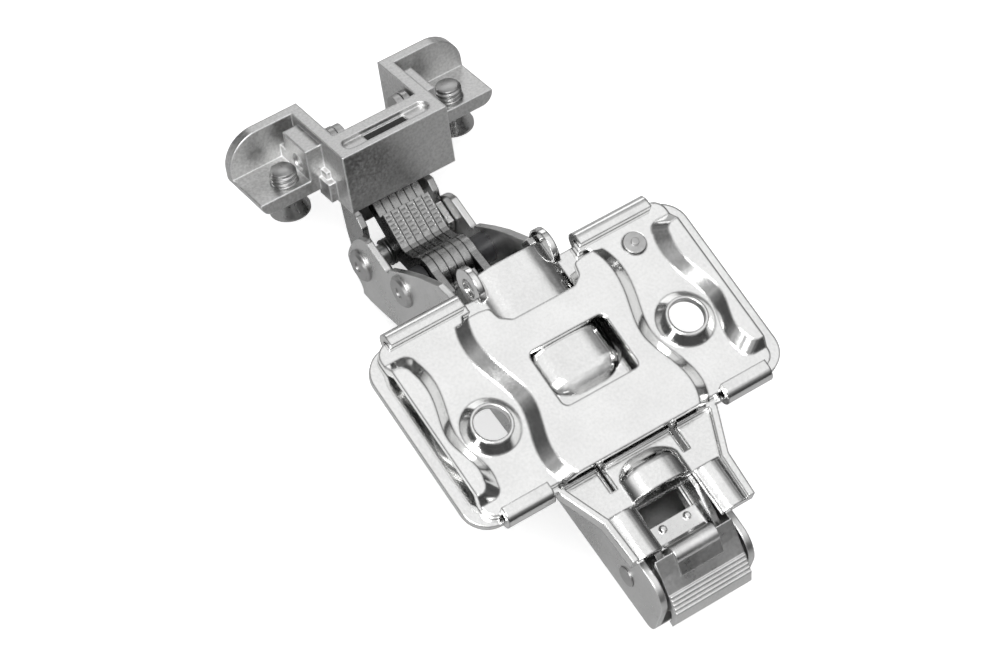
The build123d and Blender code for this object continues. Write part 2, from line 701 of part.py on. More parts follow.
# Lever spring: rings on the lever's pin with legs that rest under the carrier's web
with BuildPart() as lever_spring:
    for side in (-1, 1):
        ring_start = sided(3.95, 4.25, side)[0]
        disc(side_plane(ring_start), (latch_x, latch_depth), latch_pin_r + running + 0.4, 0.3)
        slab(side_plane(ring_start), [(-25.6, 9.35), (-25.9, 9.7), (-17.0, 8.8), (-17.0, 8.45)], 0.3)
    slab(side_plane(-4.0), [(-17.4, 8.45), (-17.0, 8.45), (-17.0, 8.8), (-17.4, 8.8)], 8.0)
    cross_bore((latch_x, latch_depth), latch_pin_r + running, 8)
lever_spring.part.label = "lever_spring"
export_step(lever_spring.part, "parts/lever_spring.step")

# Outer link: bent sheet, both walls joined by a web below the inner link
with BuildPart() as outer_link:
    both_walls(
        [(outer_pivot[0] + 1.9, outer_pivot[1] + 0.8), (outer_pivot[0] - 0.97, outer_pivot[1] + 6.19),
         (outer_pivot[0] - 4.97, outer_pivot[1] + 10.39), (44.7, 28.4), (42.8, 30.9), (39.5, 32.5), (36.6, 31.6),
         (35.6, 29.0), (37.0, 25.6), (40.5, 25.4), (41.6, 23.6), (43.3, 22.8), (44.4, 23.4),
         (outer_pivot[0] - 3.47, outer_pivot[1] + 7.09), (outer_pivot[0] - 1.77, outer_pivot[1] + 4.39),
         (outer_pivot[0] - 2.0, outer_pivot[1] + 0.6)],
        outer_link_inner,
        outer_link_wall,
    )
    for wall_start in (outer_link_inner, -outer_link_inner - outer_link_wall):
        disc(side_plane(wall_start), outer_pivot, 2.1, outer_link_wall)
    slab(side_plane(-outer_link_inner - 0.2), [(47.3, 25.0), (44.9, 28.6), (44.1, 28.1), (46.5, 24.5)], 2 * outer_link_inner + 0.4)
    cross_bore((front_pin_x, front_pin_depth), front_pin_r + running, 10)
    cross_bore(outer_pivot, outer_pivot_r + running, 10)
outer_link.part.label = "outer_link"
export_step(outer_link.part, "parts/outer_link.step")


def link_plate_body(number, tail):
    # One plate of the laminated inner link.
    start = -stack_half + number * link_plate
    eye_x, eye_depth = inner_pivot
    outline = [
        (40.9, 20.7), (41.3, 22.2), (eye_x - 2.42, eye_depth + 3.88), (eye_x - 1.92, eye_depth + 1.18),
        (eye_x + 1.78, eye_depth + 1.18), (eye_x - 0.42, eye_depth + 4.78), (eye_x - 3.12, eye_depth + 6.08), (41.0, 24.2),
        (35.3, 25.6), (31.5, 24.2), (28.2, 24.3), (26.4, 22.2), (26.6, 19.6), (29.3, 17.9), (32.0, 20.0), (34.8, 22.0), (35.6, 22.2),
    ]
    slab(side_plane(start), outline, link_plate)
    disc(side_plane(start), inner_pivot, 2.2, link_plate)
    disc(side_plane(start), (rear_pin_x, rear_pin_depth), 3.4, link_plate)
    if tail:
        slab(side_plane(start), [(24.7, 17.4), (24.4, 18.8), (26.6, 22.3), (29.3, 20.0), (29.0, 18.0)], link_plate)
    cross_bore((rear_pin_x, rear_pin_depth), rear_pin_r + running, 10)
    cross_bore(inner_pivot, inner_pivot_r, 10)
    # Ladder of fine coining marks along the plate's upper edge
    for mark in range(7):
        low = -22.14 + 0.184 * mark
        block((36.3 + 0.65 * mark, start + 0.25, low), (36.52 + 0.65 * mark, start + link_plate - 0.25, -20.0), Mode.SUBTRACT)


with BuildPart() as inner_link_plate_1:
    link_plate_body(0, True)
inner_link_plate_1.part.label = "inner_link_plate_1"
export_step(inner_link_plate_1.part, "parts/inner_link_plate_1.step")

with BuildPart() as inner_link_plate_2:
    link_plate_body(1, False)
inner_link_plate_2.part.label = "inner_link_plate_2"
export_step(inner_link_plate_2.part, "parts/inner_link_plate_2.step")

with BuildPart() as inner_link_plate_3:
    link_plate_body(2, False)
inner_link_plate_3.part.label = "inner_link_plate_3"
export_step(inner_link_plate_3.part, "parts/inner_link_plate_3.step")

with BuildPart() as inner_link_plate_4:
    link_plate_body(3, False)
inner_link_plate_4.part.label = "inner_link_plate_4"
export_step(inner_link_plate_4.part, "parts/inner_link_plate_4.step")

with BuildPart() as inner_link_plate_5:
    link_plate_body(4, False)
inner_link_plate_5.part.label = "inner_link_plate_5"
export_step(inner_link_plate_5.part, "parts/inner_link_plate_5.step")

with BuildPart() as inner_link_plate_6:
    link_plate_body(5, True)
inner_link_plate_6.part.label = "inner_link_plate_6"
export_step(inner_link_plate_6.part, "parts/inner_link_plate_6.step")

# Inner link pin: its ends ride in the long pockets inside the boss's cheeks
inner_pin_half = cheek_inner + 0.8
with BuildPart() as inner_link_pin:
    disc(side_plane(-inner_pin_half), inner_pivot, inner_pivot_r, 2 * inner_pin_half)
inner_link_pin.part.label = "inner_link_pin"
export_step(inner_link_pin.part, "parts/inner_link_pin.step")


def boss_block(v, u, y, mode=Mode.ADD):
    # A straight block in the boss's own frame, each extent given as a pair.
    with BuildSketch(boss_plane(y[0])) as outline:
        with Locations(((v[0] + v[1]) / 2, (u[0] + u[1]) / 2)):
            Rectangle(v[1] - v[0], u[1] - u[0])
    extrude(outline.sketch, amount=y[1] - y[0], mode=mode)


def ear_plane(v):
    # Upright sheet across the boss: local x runs across the plate, local y runs up from the shelf.
    return Plane(
        origin=(boss_x + v * boss_v_x, 0, boss_z + v * boss_v_z),
        x_dir=(0, 1, 0),
        z_dir=(boss_v_x, 0, boss_v_z),
    )


def ear_outline(plane, side, inner, top_r, top):
    # An ear's outline seen from the door: large round corner on top, smaller one below.
    low_r = 1.9
    with BuildSketch(plane) as outline:
        with BuildLine():
            Line((side * inner, -top), (side * (boss_half - top_r), -top))
            ThreePointArc(
                (side * (boss_half - top_r), -top),
                (side * (boss_half - 0.293 * top_r), -top - 0.293 * top_r),
                (side * boss_half, -top - top_r),
            )
            Line((side * boss_half, -top - top_r), (side * boss_half, -shelf_low + low_r))
            ThreePointArc(
                (side * boss_half, -shelf_low + low_r),
                (side * (boss_half - 0.293 * low_r), -shelf_low + 0.293 * low_r),
                (side * (boss_half - low_r), -shelf_low),
            )
            Polyline((side * (boss_half - low_r), -shelf_low), (side * inner, -shelf_low), (side * inner, -top))
        make_face()
    return outline.sketch


# Door boss: cast bar, two cheeks and two ears with the clamp screw shelves
ear_round = 5.0
cheek_low = 8.6
rib_top = 1.0
slot_half = 7.1
slot_depth = 0.7
slip_length = 5.4
slip_height = 5.0
with BuildPart() as frame_boss:
    boss_block((0, bar_depth), (0, bar_height), (-bar_half, bar_half))
    boss_block((bar_front_wall, bar_depth + 1), (bar_top_wall, bar_height + 1), (-cheek_inner, cheek_inner), Mode.SUBTRACT)
    for side in (-1, 1):
        boss_block((bar_depth - 1, cheek_length), (0, cheek_low), sided(cheek_inner, bar_half, side))
        extrude(ear_outline(ear_plane(cheek_length - ear_wall), side, cheek_inner + 0.2, ear_round, 0), amount=ear_wall)
        extrude(ear_outline(ear_plane(6.0), side, shelf_inner - 0.5, 0.1, shelf_top), amount=cheek_length - 6.0 - 0.1)
        rib_outer = shelf_inner if side > 0 else shelf_inner - 0.8
        boss_block((6.0, 12.2), (rib_top, shelf_low), sided(bar_half - 0.1, rib_outer, side))
        boss_block((11.0, cheek_length - 0.5), (shelf_top - 2.0, shelf_low), sided(bar_half - 0.1, rib_outer, side))
        boss_block((3.4, 6.5), (6.2, 9.3), sided(bar_half - 0.1, 9.9, side))
        boss_block((4.6, 6.2), (5.0, 7.0), sided(bar_half - 0.1, 9.4, side))
        # Knurled recess in the rib's outer face
        recess_start = rib_outer - 0.35
        with BuildSketch(boss_plane(sided(recess_start, rib_outer + 0.1, side)[0])) as recess:
            with Locations((9.0, 4.4)):
                Circle(1.3)
        extrude(recess.sketch, amount=rib_outer + 0.1 - recess_start, mode=Mode.SUBTRACT)
        # Long pocket for the inner link pin's end
        with BuildSketch(boss_plane(-inner_pin_half - 0.2 if side < 0 else cheek_inner - 0.1)) as pocket:
            with Locations((inner_pivot_v - 0.3, inner_pivot_u + 0.6)):
                Rectangle(slip_length, slip_height)
        extrude(pocket.sketch, amount=inner_pin_half + 0.3 - cheek_inner, mode=Mode.SUBTRACT)
    # Slot in the bar's top face, right through in the middle only
    top_face = Plane(origin=(boss_x, 0, boss_z), x_dir=(0, 1, 0), z_dir=(boss_v_z, 0, -boss_v_x))
    slot_offset = 2.35
    with BuildSketch(top_face) as slot_top:
        with Locations((0, -slot_offset)):
            SlotOverall(2 * slot_half, 2.5)
    extrude(slot_top.sketch, amount=slot_depth, mode=Mode.SUBTRACT)
    boss_block((1.3, 3.5), (-1, 3), (-3.4, 3.4), Mode.SUBTRACT)
    for side in (-1, 1):
        # Threaded hole of the clamp screw
        clamp_seat = Plane(
            origin=(boss_x + clamp_v * boss_v_x, side * clamp_y, boss_z + clamp_v * boss_v_z),
            x_dir=(0, 1, 0),
            z_dir=(boss_v_z, 0, -boss_v_x),
        )
        with BuildSketch(clamp_seat) as thread_hole:
            Circle(clamp_r)
        extrude(thread_hole.sketch, amount=12, mode=Mode.SUBTRACT)
        disc(
            boss_plane(sided(outer_link_inner, bar_half - 0.7, side)[0]),
            (outer_pivot_v, outer_pivot_u),
            outer_pivot_r,
            bar_half - 0.7 - outer_link_inner,
            Mode.SUBTRACT,
        )
frame_boss.part.label = "frame_boss"
export_step(frame_boss.part, "parts/frame_boss.step")


def pivot_pin(side):
    # Mushroom pin from the link into the boss's cheek.
    disc(side_plane(sided(outer_link_inner - 0.1, bar_half - 0.7, side)[0]), outer_pivot, outer_pivot_r, bar_half - 0.6 - outer_link_inner)
    disc(side_plane(sided(outer_link_inner - 1.2, outer_link_inner - 0.1, side)[0]), outer_pivot, 2.0, 1.1)


with BuildPart() as outer_pivot_pin_left:
    pivot_pin(1)
outer_pivot_pin_left.part.label = "outer_pivot_pin_left"
export_step(outer_pivot_pin_left.part, "parts/outer_pivot_pin_left.step")

with BuildPart() as outer_pivot_pin_right:
    pivot_pin(-1)
outer_pivot_pin_right.part.label = "outer_pivot_pin_right"
export_step(outer_pivot_pin_right.part, "parts/outer_pivot_pin_right.step")


def clamp_screw(side):
    # Countersunk screw whose bevelled tip stands above the shelf and whose head grips the door frame's edge.
    axis_plane = Plane(
        origin=(boss_x + clamp_v * boss_v_x, side * clamp_y, boss_z + clamp_v * boss_v_z),
        x_dir=(0, 1, 0),
        z_dir=(boss_v_x, 0, boss_v_z),
    )
    with BuildSketch(axis_plane) as profile:
        with BuildLine():
            Polyline(
                (clamp_r, -4.05),
                (clamp_r, -8.8),
                (3.0, -10.9),
                (3.0, -11.4),
                (2.4, -11.8),
                (0, -11.95),
                (0, -3.55),
                (clamp_r - 0.5, -3.55),
                (clamp_r, -4.05),
            )
        make_face()
    revolve(profile.sketch, axis=Axis(axis_plane.origin, tuple(axis_plane.y_dir)))
    recess_plane = Plane(origin=axis_plane.origin, x_dir=(0, 1, 0), z_dir=(boss_v_z, 0, -boss_v_x)).offset(12.1)
    with BuildSketch(recess_plane) as recess:
        Rectangle(3.2, 0.8)
        Rectangle(0.8, 3.2)
    extrude(recess.sketch, amount=-1.9, mode=Mode.SUBTRACT)


with BuildPart() as clamp_screw_left:
    clamp_screw(1)
clamp_screw_left.part.label = "clamp_screw_left"
export_step(clamp_screw_left.part, "parts/clamp_screw_left.step")

with BuildPart() as clamp_screw_right:
    clamp_screw(-1)
clamp_screw_right.part.label = "clamp_screw_right"
export_step(clamp_screw_right.part, "parts/clamp_screw_right.step")
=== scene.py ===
import bpy, bmesh, math
from mathutils import Matrix, Vector


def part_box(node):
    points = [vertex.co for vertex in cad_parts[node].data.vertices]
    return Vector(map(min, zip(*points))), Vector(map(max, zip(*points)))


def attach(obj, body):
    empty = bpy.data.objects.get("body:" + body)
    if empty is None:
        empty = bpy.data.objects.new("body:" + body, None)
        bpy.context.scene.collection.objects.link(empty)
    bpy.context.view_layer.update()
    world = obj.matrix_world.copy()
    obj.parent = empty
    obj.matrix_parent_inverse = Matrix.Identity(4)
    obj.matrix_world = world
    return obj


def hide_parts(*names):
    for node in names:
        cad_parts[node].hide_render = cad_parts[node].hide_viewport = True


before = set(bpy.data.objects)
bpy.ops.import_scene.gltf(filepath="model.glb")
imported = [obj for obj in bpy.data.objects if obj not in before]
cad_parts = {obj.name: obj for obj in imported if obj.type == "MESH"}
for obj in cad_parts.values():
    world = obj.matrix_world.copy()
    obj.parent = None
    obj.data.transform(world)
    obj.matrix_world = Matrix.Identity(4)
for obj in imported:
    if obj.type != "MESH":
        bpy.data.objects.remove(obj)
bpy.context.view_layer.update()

# Fixed plate: the cabinet-side plate, pressed from 1 mm sheet steel with waved ribs and two cones
# for its screws. It is bright nickel plated, so it mirrors the studio, with a faint orange peel
# Its cut edges and creases are painted dark, as painted shade.
share, value_a, value_b, value_out = 0, 2, 3, 0
colour_a, colour_b, colour_out = 6, 7, 2


def start_group(name, inputs, outputs):
    group = bpy.data.node_groups.new(name, "ShaderNodeTree")
    for socket, value in inputs:
        entry = group.interface.new_socket(socket, in_out="INPUT", socket_type="NodeSocketFloat")
        entry.default_value = value
    for socket, kind in outputs:
        group.interface.new_socket(socket, in_out="OUTPUT", socket_type="NodeSocket" + kind)
    nodes = group.nodes
    return group, nodes.new("NodeGroupInput"), nodes.new("NodeGroupOutput")


def spread(tree, limits):
    node = tree.nodes.new("ShaderNodeMapRange")
    for socket, value in limits.items():
        node.inputs[socket].default_value = value
    return node


def noise(tree, detail, scale=None):
    node = tree.nodes.new("ShaderNodeTexNoise")
    node.inputs["Detail"].default_value = detail
    if scale is not None:
        node.inputs["Scale"].default_value = scale
    return node


sheet_grain, asked, given = start_group(
    "sheet_grain",
    inputs=(("Peel Scale", 420.0), ("Grain Scale", 3000.0),
            ("Grain Share", 0.3), ("Speckle Share", 0.4)),
    outputs=(("Clouds", "Float"), ("Height", "Float")),
)
links = sheet_grain.links
place = sheet_grain.nodes.new("ShaderNodeTexCoord")
peel = noise(sheet_grain, detail=2.0)
fine = noise(sheet_grain, detail=3.0)
clouds = noise(sheet_grain, detail=4.0, scale=170.0)
speckle = noise(sheet_grain, detail=3.0, scale=2300.0)
blend = sheet_grain.nodes.new("ShaderNodeMix")
patches = sheet_grain.nodes.new("ShaderNodeMix")
stretched = spread(sheet_grain, {"From Min": 0.36, "From Max": 0.64})
for texture in (peel, fine, clouds, speckle):
    links.new(place.outputs["Object"], texture.inputs["Vector"])
links.new(asked.outputs["Peel Scale"], peel.inputs["Scale"])
links.new(asked.outputs["Grain Scale"], fine.inputs["Scale"])
links.new(asked.outputs["Grain Share"], blend.inputs[share])
links.new(peel.outputs["Fac"], blend.inputs[value_a])
links.new(fine.outputs["Fac"], blend.inputs[value_b])
links.new(blend.outputs[value_out], given.inputs["Height"])
links.new(asked.outputs["Speckle Share"], patches.inputs[share])
links.new(clouds.outputs["Fac"], patches.inputs[value_a])
links.new(speckle.outputs["Fac"], patches.inputs[value_b])
links.new(patches.outputs[value_out], stretched.inputs["Value"])
links.new(stretched.outputs["Result"], given.inputs["Clouds"])

soft_edges, asked, given = start_group(
    "soft_edges", inputs=(("Radius", 0.00025),), outputs=(("Edge", "Float"), ("Normal", "Vector")),
)
links = soft_edges.links
bevel = soft_edges.nodes.new("ShaderNodeBevel")
bevel.samples = 6
surface = soft_edges.nodes.new("ShaderNodeNewGeometry")
turned = soft_edges.nodes.new("ShaderNodeVectorMath")
turned.operation = "DOT_PRODUCT"
falloff = spread(soft_edges, {"From Min": 1.0, "From Max": 0.8})
links.new(asked.outputs["Radius"], bevel.inputs["Radius"])
links.new(bevel.outputs["Normal"], turned.inputs[0])
links.new(surface.outputs["Normal"], turned.inputs[1])
links.new(turned.outputs["Value"], falloff.inputs["Value"])
links.new(falloff.outputs["Result"], given.inputs["Edge"])
links.new(bevel.outputs["Normal"], given.inputs["Normal"])


def place_group(tree, group, values):
    node = tree.nodes.new("ShaderNodeGroup")
    node.node_tree = group
    for socket, value in values.items():
        node.inputs[socket].default_value = value
    return node


def colour_mix(tree, first=None, second=None):
    node = tree.nodes.new("ShaderNodeMix")
    node.data_type = "RGBA"
    if first is not None:
        node.inputs[colour_a].default_value = (*first, 1)
    if second is not None:
        node.inputs[colour_b].default_value = (*second, 1)
    return node


def plated_metal(name, colour, roughness, peel_scale, grain_share, bump_depth, edge_radius,
                 edge_gain, mottle=0.10, speckle_share=0.5):
    # edge_gain above 1 paints edges bright, wear and painted highlight; below 1, painted shade.
    brightest_tone, brightest_edge, blue_share = 0.97, 0.95, 0.995
    low_tone, high_tone = colour * (1 - mottle), min(colour * (1 + mottle), brightest_tone)
    edge_tone = min(colour * edge_gain, brightest_edge)
    material = bpy.data.materials.new(name)
    material.use_nodes = True
    tree = material.node_tree
    shader = tree.nodes["Principled BSDF"]
    shader.inputs["Metallic"].default_value = 1.0
    grain = place_group(tree, sheet_grain, {
        "Peel Scale": peel_scale, "Grain Share": grain_share, "Speckle Share": speckle_share,
    })
    edges = place_group(tree, soft_edges, {"Radius": edge_radius})
    tone = colour_mix(
        tree, first=(low_tone, low_tone, low_tone * blue_share),
        second=(high_tone, high_tone, high_tone * blue_share),
    )
    edge_wear_and_painted_light = colour_mix(tree, second=(edge_tone, edge_tone, edge_tone))
    rough = spread(tree, {"To Min": roughness * 0.8, "To Max": roughness * 1.25})
    bump = tree.nodes.new("ShaderNodeBump")
    bump.inputs["Strength"].default_value = 1.0
    bump.inputs["Distance"].default_value = bump_depth
    tree.links.new(grain.outputs["Clouds"], tone.inputs[share])
    tree.links.new(tone.outputs[colour_out], edge_wear_and_painted_light.inputs[colour_a])
    tree.links.new(edges.outputs["Edge"], edge_wear_and_painted_light.inputs[share])
    tree.links.new(edge_wear_and_painted_light.outputs[colour_out], shader.inputs["Base Color"])
    tree.links.new(grain.outputs["Clouds"], rough.inputs["Value"])
    tree.links.new(rough.outputs["Result"], shader.inputs["Roughness"])
    tree.links.new(grain.outputs["Height"], bump.inputs["Height"])
    tree.links.new(edges.outputs["Normal"], bump.inputs["Normal"])
    tree.links.new(bump.outputs["Normal"], shader.inputs["Normal"])
    return material


def finish_node(name, material):
    mesh = bpy.data.objects[name].data
    mesh.materials.clear()
    mesh.materials.append(material)


plate_nickel = plated_metal(
    "plate_nickel", colour=0.85, roughness=0.13, peel_scale=420.0, grain_share=0.25,
    bump_depth=0.000012, edge_radius=0.0005, edge_gain=0.50, mottle=0.06, speckle_share=0.45,
)
finish_node("fixed_plate", plate_nickel)

# Slide plate: carries the arm and runs across under the fixed plate, which its folded edges grip.
# The same sheet and plating, with more stretch in the metal over its two domes, and the same painted
# shade on its edges.
slide_nickel = plated_metal(
    "slide_nickel", colour=0.82, roughness=0.12, peel_scale=500.0, grain_share=0.3,
    bump_depth=0.000014, edge_radius=0.0004, edge_gain=0.50, mottle=0.07, speckle_share=0.45,
)
finish_node("slide_plate", slide_nickel)

# Height cam: a headed stud turned with a driver from below, its tip flush in the fixed plate's valley.
# Turned steel, zinc plated a little duller than the sheets.
turned_steel = plated_metal(
    "turned_steel", colour=0.50, roughness=0.40, peel_scale=900.0, grain_share=0.4,
    bump_depth=0.000003, edge_radius=0.00015, edge_gain=1.1,
)
finish_node("height_cam", turned_steel)

# Clip carrier and adjusting bracket: two nested channels in the arm, hooked on the slide plate's studs.
# Thin plated sheet that lies in the arm's shade, so its colour is painted greyer, as painted shade.
inner_nickel = plated_metal(
    "inner_nickel", colour=0.42, roughness=0.28, peel_scale=500.0, grain_share=0.35,
    bump_depth=0.000008, edge_radius=0.00025, edge_gain=1.5,
)
for channel in ("clip_carrier", "adjusting_bracket"):
    finish_node(channel, inner_nickel)

# Release lever on its pin and spring: pressed sheet with a rolled neck and five thumb ribs.
# The plating is satin where the thumb rubs it, and the ribs' tops are painted bright, as wear and
# painted highlight.
lever_nickel = plated_metal(
    "lever_nickel", colour=0.74, roughness=0.33, peel_scale=500.0, grain_share=0.3,
    bump_depth=0.000007, edge_radius=0.00022, edge_gain=1.2, mottle=0.08, speckle_share=0.4,
)
finish_node("release_lever", lever_nickel)
for small in ("lever_pin", "lever_spring"):
    finish_node(small, turned_steel)

# Hinge arm: one deep channel folded from 1 mm sheet, with its pivot pin across the rear.
# Its walls are rolled flat and left satin, so they look greyer than the embossed plates.
arm_nickel = plated_metal(
    "arm_nickel", colour=0.70, roughness=0.32, peel_scale=450.0, grain_share=0.30,
    bump_depth=0.000003, edge_radius=0.0003, edge_gain=1.3, mottle=0.08, speckle_share=0.35,
)
finish_node("hinge_arm", arm_nickel)
finish_node("arm_pivot_pin", turned_steel)

# Depth cam and side screw: the two driver settings in the middle of the arm.
# Both are turned from steel rod and cross slotted.
for driver_piece in ("depth_cam", "side_screw"):
    finish_node(driver_piece, turned_steel)

# Link pins and their dark bushes: two steel pins are riveted across the arm's front and three sit in
# the boss. The riveted heads are peened, which leaves a small bright dimple. The bushes on the rear
# pin are low-friction plastic and keep the links central.
for pin in ("front_link_pin", "rear_link_pin", "inner_link_pin",
            "outer_pivot_pin_left", "outer_pivot_pin_right"):
    finish_node(pin, turned_steel)
bush_plastic = bpy.data.materials.new("bush_plastic")
bush_plastic.use_nodes = True
tree = bush_plastic.node_tree
bush_shader = tree.nodes["Principled BSDF"]
bush_grain = place_group(tree, sheet_grain, {"Grain Share": 0.7})
bush_tone = colour_mix(tree, (0.018, 0.018, 0.02), (0.035, 0.035, 0.037))
bush_bump = tree.nodes.new("ShaderNodeBump")
bush_bump.inputs["Distance"].default_value = 0.00002
bush_rough = spread(tree, {"To Min": 0.35, "To Max": 0.55})
tree.links.new(bush_grain.outputs["Clouds"], bush_tone.inputs[share])
tree.links.new(bush_tone.outputs[colour_out], bush_shader.inputs["Base Color"])
tree.links.new(bush_grain.outputs["Clouds"], bush_rough.inputs["Value"])
tree.links.new(bush_rough.outputs["Result"], bush_shader.inputs["Roughness"])
tree.links.new(bush_grain.outputs["Height"], bush_bump.inputs["Height"])
tree.links.new(bush_bump.outputs["Normal"], bush_shader.inputs["Normal"])
for bush in ("rear_bush_left", "rear_bush_right"):
    finish_node(bush, bush_plastic)

# Closing spring: dark oiled wire wound close round the front pin, its leg resting on the arm's web.
# Wound as a helix with the Screw modifier from one ring of the wire, then the straight leg is added.
pin_low, pin_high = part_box("front_link_pin")
coil_x, coil_z = (pin_low[0] + pin_high[0]) / 2, (pin_low[2] + pin_high[2]) / 2
spring_low, spring_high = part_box("closing_spring")
wire_r = 0.00027
coil_r = 0.0021 - wire_r
coil_half = 0.0040 - wire_r
coil_turns = 13
leg_length, leg_inset, leg_z, leg_tilt = 0.0064, 0.0004, -0.03110, math.radians(5.0)
merge_gap = 0.000001


def take_up(piece, *others):
    bpy.ops.object.select_all(action="DESELECT")
    for chosen in (*others, piece):
        chosen.select_set(True)
    bpy.context.view_layer.objects.active = piece


def settle():
    bpy.ops.object.transform_apply(location=True, rotation=True, scale=True)


def wind(ring, turns, pitch, steps, cap_sides):
    winding = ring.modifiers.new("winding", "SCREW")
    winding.angle = 2 * math.pi
    winding.iterations = turns
    winding.screw_offset = pitch
    winding.steps = winding.render_steps = steps
    bpy.ops.object.modifier_apply(modifier="winding")
    bpy.ops.object.mode_set(mode="EDIT")
    bpy.ops.mesh.select_all(action="SELECT")
    bpy.ops.mesh.remove_doubles(threshold=merge_gap)
    bpy.ops.mesh.select_all(action="SELECT")
    bpy.ops.mesh.fill_holes(sides=cap_sides)
    bpy.ops.mesh.select_all(action="SELECT")
    bpy.ops.mesh.normals_make_consistent(inside=False)
    bpy.ops.object.mode_set(mode="OBJECT")


bpy.ops.object.select_all(action="DESELECT")
bpy.ops.mesh.primitive_circle_add(
    vertices=10, radius=wire_r, location=(coil_r, 0, -coil_half), rotation=(math.pi / 2, 0, 0),
)
spring = bpy.context.active_object
spring.name = "wound_spring"
settle()
wind(spring, coil_turns, 2 * coil_half / coil_turns, steps=28, cap_sides=12)
spring.rotation_euler = (math.pi / 2, 0, 0)
spring.location = (coil_x, 0, coil_z)
settle()
bpy.ops.object.select_all(action="DESELECT")
bpy.ops.mesh.primitive_cylinder_add(
    vertices=12, radius=wire_r, depth=leg_length,
    location=(spring_low[0] + leg_length / 2, spring_high[1] - leg_inset, leg_z),
    rotation=(0, math.pi / 2 - leg_tilt, 0),
)
leg = bpy.context.active_object
settle()
take_up(spring, leg)
bpy.ops.object.join()
bpy.ops.object.shade_smooth_by_angle(angle=math.radians(40))
spring_wire = plated_metal(
    "spring_wire", colour=0.17, roughness=0.33, peel_scale=900.0, grain_share=0.4,
    bump_depth=0.00001, edge_radius=0.0001, edge_gain=1.5,
)
spring.data.materials.append(spring_wire)
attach(spring, "arm")
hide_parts("closing_spring")

# Outer link: bent sheet whose two walls run from the front pin to the boss's upper pivots.
# It hangs on the front pin and on the boss's two short pins, and has the channels' colour, painted
# greyer as shade.
finish_node("outer_link", inner_nickel)

# Inner link: six pressed plates side by side, with a ladder of fine marks coined along the top.
# The joints between the plates are painted as thin dark lines, for oil and as painted shade.
plates_in_stack = 6
stack_low, stack_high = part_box("inner_link_plate_1")[0][1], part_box("inner_link_plate_6")[1][1]
plate_thickness = (stack_high - stack_low) / plates_in_stack
link_steel = plated_metal(
    "link_steel", colour=0.37, roughness=0.27, peel_scale=900.0, grain_share=0.5,
    bump_depth=0.000008, edge_radius=0.00012, edge_gain=1.7, mottle=0.14, speckle_share=0.6,
)
tree = link_steel.node_tree
link_shader = tree.nodes["Principled BSDF"]


def reckon(tree, operation, *values):
    node = tree.nodes.new("ShaderNodeMath")
    node.operation = operation
    for socket, value in enumerate(values, start=1):
        node.inputs[socket].default_value = value
    return node


here = tree.nodes.new("ShaderNodeTexCoord")
along = tree.nodes.new("ShaderNodeSeparateXYZ")
tree.links.new(here.outputs["Object"], along.inputs["Vector"])
distance = along.outputs["Y"]
for operation, values in (("SUBTRACT", (stack_low,)), ("DIVIDE", (plate_thickness,)),
                          ("FRACT", ()), ("SUBTRACT", (0.5,)), ("ABSOLUTE", ())):
    step = reckon(tree, operation, *values)
    tree.links.new(distance, step.inputs[0])
    distance = step.outputs["Value"]
seam = spread(tree, {"From Min": 0.40, "From Max": 0.47})
seam_oil_and_shade = colour_mix(tree, second=(0.02, 0.02, 0.02))
plain_colour = link_shader.inputs["Base Color"].links[0].from_socket
tree.links.new(distance, seam.inputs["Value"])
tree.links.new(seam.outputs["Result"], seam_oil_and_shade.inputs[share])
tree.links.new(plain_colour, seam_oil_and_shade.inputs[colour_a])
tree.links.new(seam_oil_and_shade.outputs[colour_out], link_shader.inputs["Base Color"])
for number in range(1, plates_in_stack + 1):
    finish_node("inner_link_plate_%d" % number, link_steel)

# Frame boss: the zinc die casting that grips the narrow door frame, with its ears and screw shelves.
# Barrel finished, then nickel plated over a slightly sandy skin: satin, with edges painted bright as
# wear and painted highlight.
# A long shallow slot is cast into the bar's top, deeper in its middle, whose floor is painted near
# black as painted shade.
cast_nickel = plated_metal(
    "cast_nickel", colour=0.62, roughness=0.38, peel_scale=1300.0, grain_share=0.55,
    bump_depth=0.000012, edge_radius=0.0004, edge_gain=1.5, mottle=0.17, speckle_share=0.7,
)
cast_shade = plated_metal(
    "cast_shade", colour=0.07, roughness=0.55, peel_scale=1300.0, grain_share=0.55,
    bump_depth=0.000006, edge_radius=0.0002, edge_gain=1.5, mottle=0.3, speckle_share=0.7,
)
door_open = 62.6
door_lean = math.radians(90 - door_open)
boss_place = Vector((0.0465, 0, -0.0087))
boss_stand = Matrix.Translation(boss_place) @ Matrix.Rotation(door_lean, 4, "Y")
slot_low, slot_high, slot_half, slot_depth = 0.0011, 0.0036, 0.0071, 0.0007
slot_corner, tool_top = 0.0012, 0.001
pocket_low, pocket_high, pocket_half = 0.00125, 0.00355, 0.00345
pocket_depth, pocket_floor, pocket_corner = 0.0010, 0.0014, 0.0001
casting = bpy.data.objects.new("slotted_boss", bpy.data.objects["frame_boss"].data.copy())
bpy.context.collection.objects.link(casting)
casting.data.materials.clear()
casting.data.materials.append(cast_nickel)
casting.data.materials.append(cast_shade)
take_up(casting)
bpy.ops.object.mode_set(mode="EDIT")
bpy.ops.mesh.select_all(action="SELECT")
bpy.ops.mesh.remove_doubles(threshold=merge_gap)
bpy.ops.object.mode_set(mode="OBJECT")
bpy.ops.mesh.customdata_custom_splitnormals_clear()


